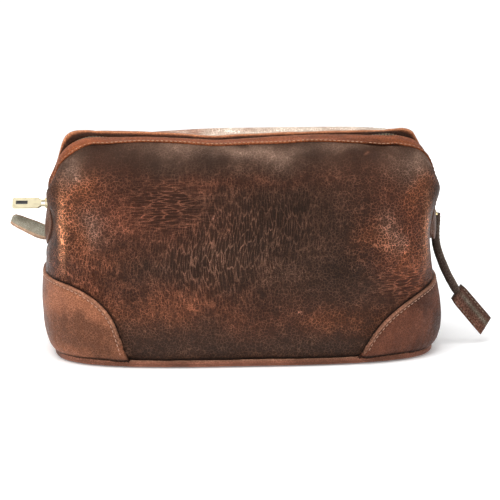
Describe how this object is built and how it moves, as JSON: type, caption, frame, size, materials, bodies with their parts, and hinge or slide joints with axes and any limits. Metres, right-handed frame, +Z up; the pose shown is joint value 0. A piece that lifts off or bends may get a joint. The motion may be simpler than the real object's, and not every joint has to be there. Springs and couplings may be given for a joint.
{
  "type": "shaving kit bag",
  "caption": "Soft leather wash bag with a stiffened base, contrasting end patches and a two-slider zip along the top and down both ends.",
  "frame": {"origin": "middle of the underside of the base", "axes": "+X to the bag's right as seen from the front, +Y to the back, +Z up"},
  "size_m": [0.3257, 0.1276, 0.1488],
  "materials": {
    "body_hide": "waxed pull-up leather, worn on the folds",
    "patch_hide": "waxed leather, lighter and redder than the body",
    "facing_hide": "smooth tan leather",
    "base_hide": "waxed leather",
    "tab_hide": "grey-brown leather with a tan cut edge",
    "thong_hide": "dark rolled and stitched leather",
    "tip_hide": "folded leather, worn",
    "lining_cloth": "plain woven cloth",
    "tape_cloth": "woven zip tape",
    "board": "grey-brown fibreboard",
    "zip_metal": "brushed, slightly dull",
    "pull_metal": "polished pale gold",
    "thread": "waxed tan thread"
  },
  "bodies": {
    "bag": {"base_panel": "base_hide", "base_board": "board", "base_piping": "base_hide", "front_panel": "body_hide", "back_panel": "body_hide", "front_fold": "body_hide", "back_fold": "body_hide", "left_end_patch": "patch_hide", "right_end_patch": "patch_hide", "body_lining": "lining_cloth", "floor_lining": "lining_cloth"},
    "front_mouth": {"front_mouth_panel": "body_hide", "front_facing": "facing_hide", "front_zip_tape": "tape_cloth", "front_zip_teeth": "zip_metal", "front_zip_stops": "zip_metal", "front_mouth_lining": "lining_cloth"},
    "back_mouth": {"back_mouth_panel": "body_hide", "back_facing": "facing_hide", "back_zip_tape": "tape_cloth", "back_zip_teeth": "zip_metal", "back_zip_stops": "zip_metal", "back_mouth_lining": "lining_cloth"},
    "end_tab": {"zip_end_tab": "tab_hide"},
    "left_slider": {"left_slider": "zip_metal"},
    "left_pull": {"left_pull": "pull_metal"},
    "right_slider": {"right_slider": "zip_metal"},
    "right_pull": {"right_pull_loop": "zip_metal", "thong": "thong_hide", "thong_tip": "tip_hide"}
  },
  "joints": [
    {"name": "front_mouth_open", "type": "hinge", "parent": "bag", "child": "front_mouth", "pos_m": [0, -0.03, 0.074], "axis": [1, 0, 0], "range_deg": [0, 20], "stiffness_Nm_per_rad": 0.05, "springref_deg": -20.05, "deforming": ["front_fold"]},
    {"name": "back_mouth_open", "type": "hinge", "parent": "bag", "child": "back_mouth", "pos_m": [0, 0.03, 0.074], "axis": [-1, 0, 0], "range_deg": [0, 20], "stiffness_Nm_per_rad": 0.05, "springref_deg": -20.05, "deforming": ["back_fold"]},
    {"name": "end_tab_flex", "type": "hinge", "parent": "bag", "child": "end_tab", "pos_m": [-0.1284, 0, 0.0794], "axis": [0, 1, 0], "range_deg": [-35, 8], "stiffness_Nm_per_rad": 0.01},
    {"name": "left_slider_travel", "type": "slide", "parent": "bag", "child": "left_slider", "axis": [0, 0, 1], "range_m": [-0.003, 0.011]},
    {"name": "left_pull_swing", "type": "hinge", "parent": "left_slider", "child": "left_pull", "pos_m": [-0.129, 0, 0.101], "axis": [0, 1, 0], "range_deg": [-5, 70]},
    {"name": "right_slider_travel", "type": "slide", "parent": "bag", "child": "right_slider", "axis": [0, 0, 1], "range_m": [-0.002, 0.014]},
    {"name": "right_pull_swing", "type": "hinge", "parent": "right_slider", "child": "right_pull", "pos_m": [0.129, 0, 0.098], "axis": [0, -1, 0], "range_deg": [0, 95]}
  ]
}
